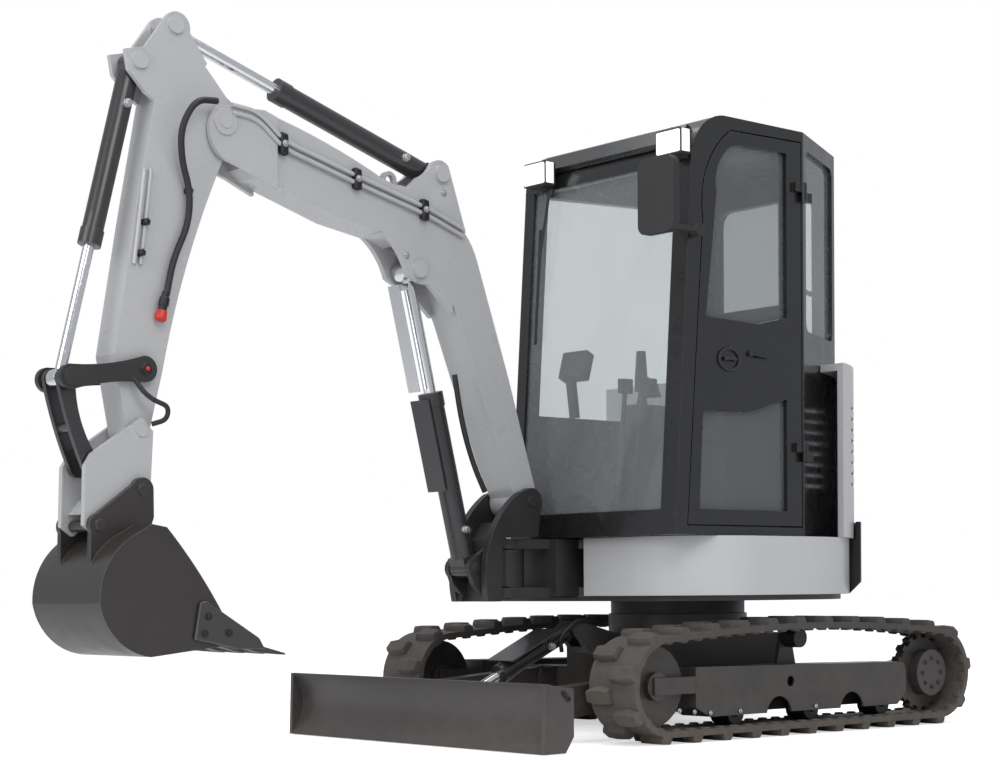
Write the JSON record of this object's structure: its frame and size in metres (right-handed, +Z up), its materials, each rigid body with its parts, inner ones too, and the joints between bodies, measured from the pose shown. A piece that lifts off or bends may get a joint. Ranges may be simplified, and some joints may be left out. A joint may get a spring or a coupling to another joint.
{
  "type": "mini excavator",
  "caption": "Compact tracked excavator with closed cab, short tail, dozer blade, swinging boom, arm, quick coupler and digging bucket.",
  "frame": {"origin": "on the ground, under the middle of the whole machine as parked", "axes": "+X forward towards the blade and bucket, +Y to the left (door) side, +Z up"},
  "size_m": [4.0192, 1.6, 2.6663],
  "materials": {
    "track_rubber": "matt",
    "black_paint": "satin",
    "dark_paint": "satin",
    "grey_paint": "satin",
    "ring_steel": "machined",
    "chrome_rod": "polished",
    "engine_iron": "rough",
    "glass": "clear",
    "cab_plastic": "matt",
    "seat_cloth": "woven",
    "lamp_plastic": "clear lens",
    "tooth_steel": "ground"
  },
  "bodies": {
    "undercarriage": {"lower_frame": "black_paint", "track_frames": "black_paint", "track_left": "track_rubber", "track_right": "track_rubber", "idlers": "black_paint", "sprockets": "black_paint", "rollers": "black_paint", "slew_ring": "ring_steel"},
    "blade": {"blade": "black_paint", "blade_arms": "black_paint"},
    "blade_barrel": {"blade_barrel": "black_paint"},
    "blade_rod": {"blade_rod": "chrome_rod"},
    "upper": {"upper_frame": "black_paint", "engine_block": "engine_iron", "skirts": "grey_paint", "counterweight": "dark_paint", "engine_hood": "grey_paint", "tank_cover": "grey_paint", "cab_frame": "dark_paint", "cab_glass": "glass", "seat_base": "cab_plastic", "seat": "seat_cloth", "consoles": "cab_plastic", "controls": "cab_plastic", "monitor": "cab_plastic", "work_lamps": "lamp_plastic", "mirror": "cab_plastic"},
    "door": {"door": "dark_paint", "door_glass": "glass"},
    "swing_post": {"swing_post": "black_paint"},
    "boom": {"boom": "grey_paint"},
    "boom_barrel": {"boom_barrel": "black_paint"},
    "boom_rod": {"boom_rod": "chrome_rod"},
    "arm": {"arm": "grey_paint"},
    "arm_barrel": {"arm_barrel": "black_paint"},
    "arm_rod": {"arm_rod": "chrome_rod"},
    "bucket_barrel": {"bucket_barrel": "black_paint"},
    "bucket_rod": {"bucket_rod": "chrome_rod"},
    "rocker": {"rocker": "black_paint"},
    "bucket_link": {"bucket_link": "black_paint"},
    "bucket": {"quick_coupler": "grey_paint", "bucket": "black_paint", "bucket_teeth": "tooth_steel"}
  },
  "joints": [
    {"name": "upper_swing", "type": "hinge", "parent": "undercarriage", "child": "upper", "pos_m": [-0.955, 0, 0.54], "axis": [0, 0, 1], "continuous": true},
    {"name": "blade_lift", "type": "hinge", "parent": "undercarriage", "child": "blade", "pos_m": [-0.485, 0, 0.215], "axis": [0, -1, 0], "range_deg": [-14, 18]},
    {"name": "blade_barrel_hinge", "type": "hinge", "parent": "undercarriage", "child": "blade_barrel", "pos_m": [-0.315, 0, 0.43], "axis": [0, -1, 0], "range_deg": [-16.39, 20.87]},
    {"name": "blade_rod_slide", "type": "slide", "parent": "blade_barrel", "child": "blade_rod", "axis": [0.9091, 0, -0.4165], "range_m": [-0.0811, 0.0637]},
    {"name": "door_hinge", "type": "hinge", "parent": "upper", "child": "door", "pos_m": [-0.972, 0.716, 1.62], "axis": [0, 0, 1], "range_deg": [0, 150]},
    {"name": "boom_swing", "type": "hinge", "parent": "upper", "child": "swing_post", "pos_m": [-0.055, -0.12, 0.68], "axis": [0, 0, -1], "range_deg": [-65, 55]},
    {"name": "boom_lift", "type": "hinge", "parent": "swing_post", "child": "boom", "pos_m": [-0.115, -0.12, 0.955], "axis": [0, -1, 0], "range_deg": [-66, 22]},
    {"name": "boom_barrel_hinge", "type": "hinge", "parent": "swing_post", "child": "boom_barrel", "pos_m": [0.15, -0.12, 0.683], "axis": [0, -1, 0], "range_deg": [-63.52, 22.27]},
    {"name": "boom_rod_slide", "type": "slide", "parent": "boom_barrel", "child": "boom_rod", "axis": [0.2369, 0, 0.9715], "range_m": [-0.4001, 0.1403]},
    {"name": "arm_crowd", "type": "hinge", "parent": "boom", "child": "arm", "pos_m": [1.334, -0.12, 2.296], "axis": [0, 1, 0], "range_deg": [-62, 18]},
    {"name": "arm_barrel_hinge", "type": "hinge", "parent": "boom", "child": "arm_barrel", "pos_m": [0.32, -0.12, 2.239], "axis": [0, -1, 0], "range_deg": [-2.9, 9.43]},
    {"name": "arm_rod_slide", "type": "slide", "parent": "arm_barrel", "child": "arm_rod", "axis": [0.9536, 0, 0.3012], "range_m": [-0.3407, 0.105]},
    {"name": "bucket_curl", "type": "hinge", "parent": "arm", "child": "bucket", "pos_m": [1.693, -0.12, 1.164], "axis": [0, 1, 0], "range_deg": [-88, 45]},
    {"name": "rocker_hinge", "type": "hinge", "parent": "arm", "child": "rocker", "pos_m": [1.673, -0.12, 1.382], "axis": [0, -1, 0], "range_deg": [-36.25, 68.95]},
    {"name": "link_hinge", "type": "hinge", "parent": "rocker", "child": "bucket_link", "pos_m": [1.965, -0.12, 1.338], "axis": [0, -1, 0], "range_deg": [-44.17, 23.22]},
    {"name": "bucket_barrel_hinge", "type": "hinge", "parent": "arm", "child": "bucket_barrel", "pos_m": [1.668, -0.12, 2.47], "axis": [0, -1, 0], "range_deg": [-1.25, 2.38]},
    {"name": "bucket_rod_slide", "type": "slide", "parent": "bucket_barrel", "child": "bucket_rod", "axis": [0.2538, 0, -0.9673], "range_m": [-0.3339, 0.1755]}
  ],
  "couplings": [
    {"joint": "blade_barrel_hinge", "follows": "blade_lift", "ratio": 1.1195},
    {"joint": "blade_rod_slide", "follows": "blade_lift", "m_per_rad": -0.2493},
    {"joint": "boom_barrel_hinge", "follows": "boom_lift", "ratio": 0.9374},
    {"joint": "boom_rod_slide", "follows": "boom_lift", "m_per_rad": 0.3383},
    {"joint": "arm_barrel_hinge", "follows": "arm_crowd", "ratio": -0.1482},
    {"joint": "arm_rod_slide", "follows": "arm_crowd", "m_per_rad": 0.3069},
    {"joint": "rocker_hinge", "follows": "bucket_curl", "ratio": -0.7605},
    {"joint": "link_hinge", "follows": "bucket_curl", "ratio": 0.4872},
    {"joint": "bucket_barrel_hinge", "follows": "bucket_curl", "ratio": -0.0262},
    {"joint": "bucket_rod_slide", "follows": "bucket_curl", "m_per_rad": 0.211}
  ]
}
